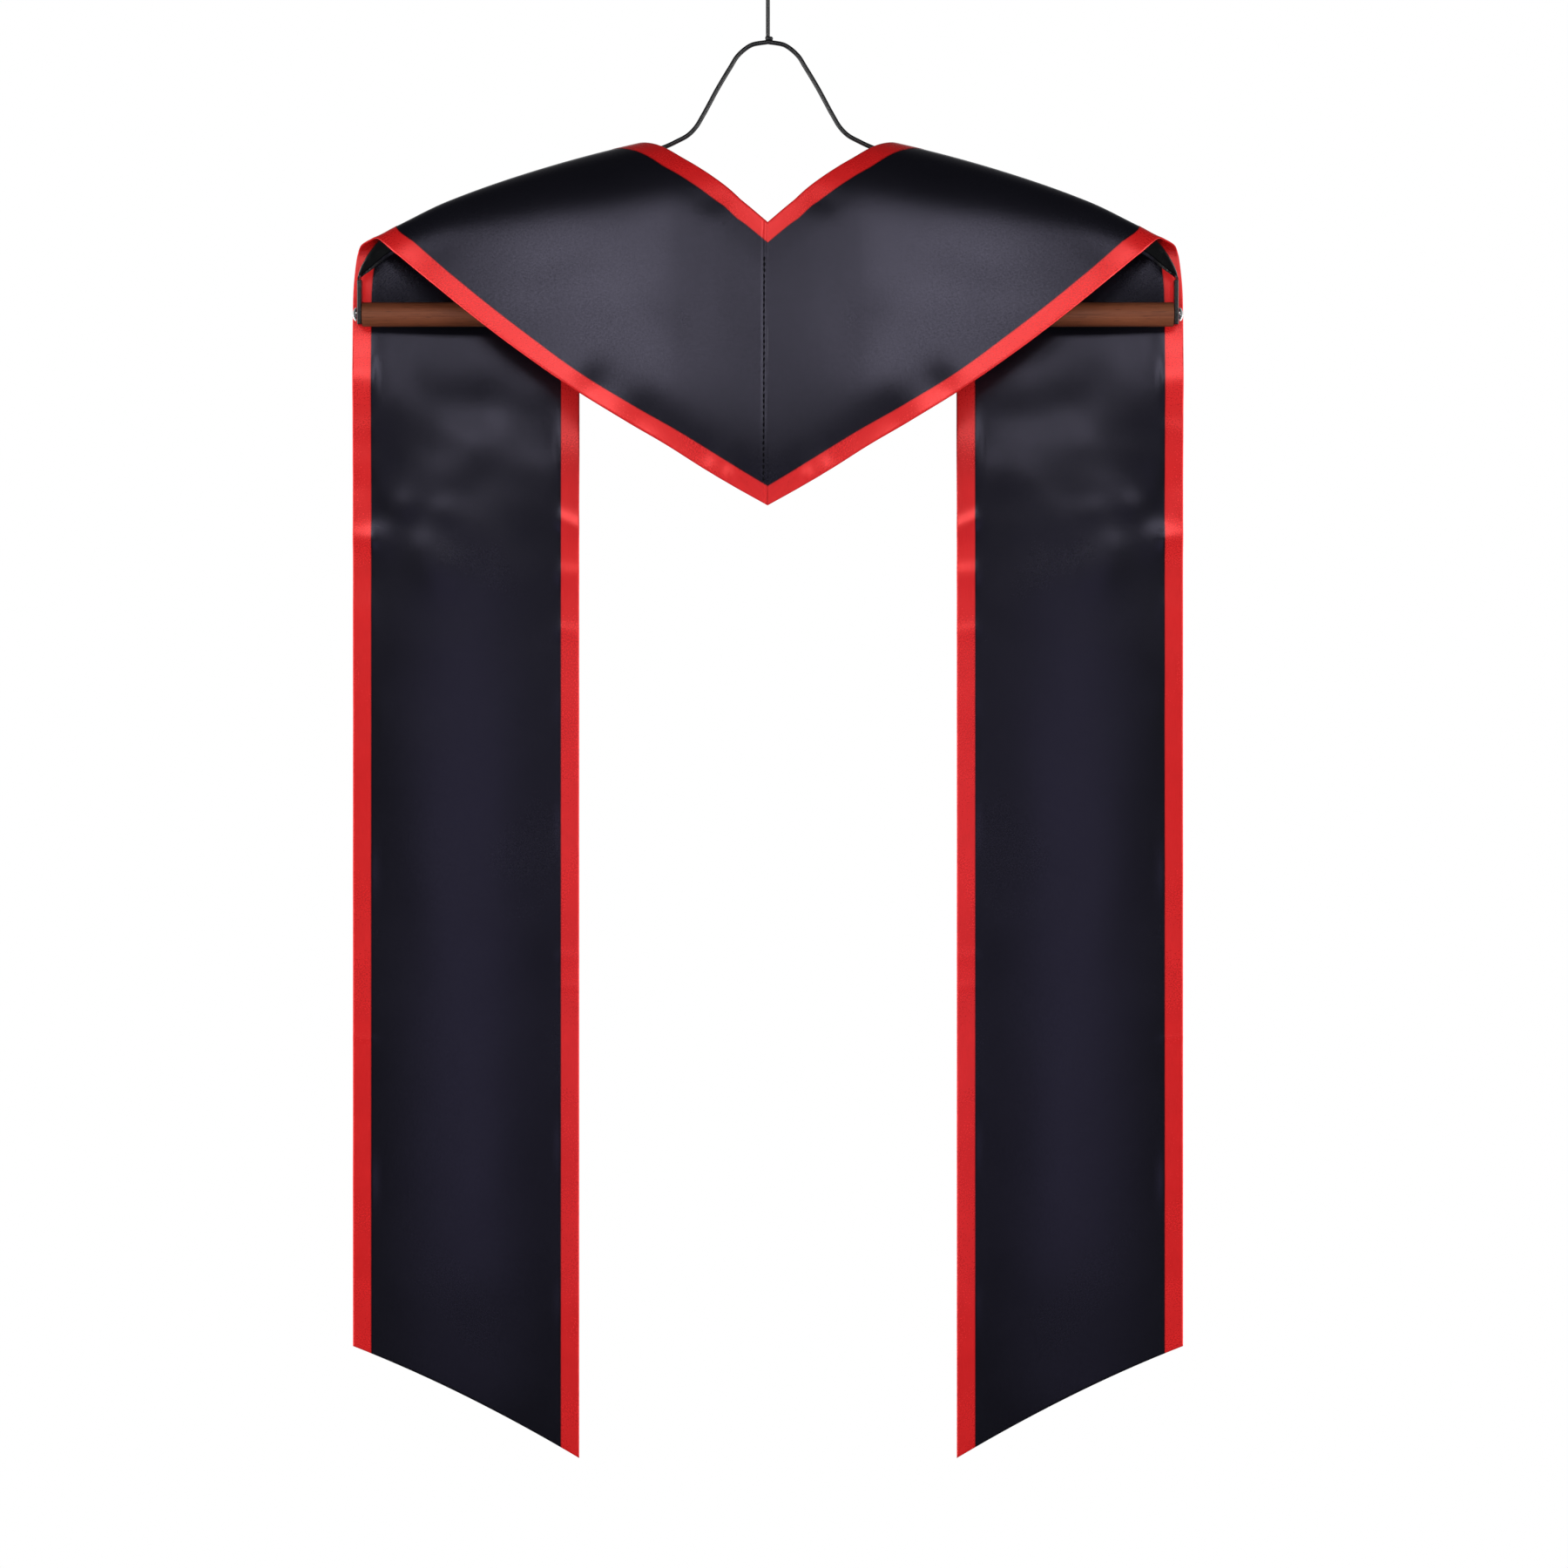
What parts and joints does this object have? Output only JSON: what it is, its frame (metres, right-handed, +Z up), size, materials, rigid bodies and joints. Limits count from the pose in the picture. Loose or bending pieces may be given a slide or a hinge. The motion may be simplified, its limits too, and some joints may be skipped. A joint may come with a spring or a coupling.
{
  "type": "graduation stole on hanger",
  "caption": "Satin stole with contrasting edge bands and a V-shaped back yoke, folded over the pressed shoulders of a wire hanger with a wooden bar; its long panels hang straight down.",
  "frame": {"origin": "the inside top of the hook, where it rests on a rail", "axes": "the back yoke faces -Y, which is the picture's side; the long front panels hang on the +Y side; +X is to the right in the picture and +Z is up"},
  "size_m": [0.4682, 0.0586, 0.8787],
  "materials": {
    "satin_black": "near-black navy satin with a soft sheen and a fine weave",
    "satin_red": "bright red satin band",
    "hanger_steel": "black satin lacquer",
    "bar_wood": "dark red-brown stain with a fine lengthwise grain",
    "screw_steel": "bright plated"
  },
  "bodies": {
    "root": {"satin_left": "satin_black", "satin_right": "satin_black", "inner_band_left": "satin_red", "inner_band_right": "satin_red", "outer_band_left": "satin_red", "outer_band_right": "satin_red", "hook": "hanger_steel", "bow": "hanger_steel", "shoulder_plate_left": "hanger_steel", "shoulder_plate_right": "hanger_steel", "end_strap_left": "hanger_steel", "end_strap_right": "hanger_steel", "bar": "bar_wood", "screw_left": "screw_steel", "screw_right": "screw_steel"}
  },
  "joints": []
}
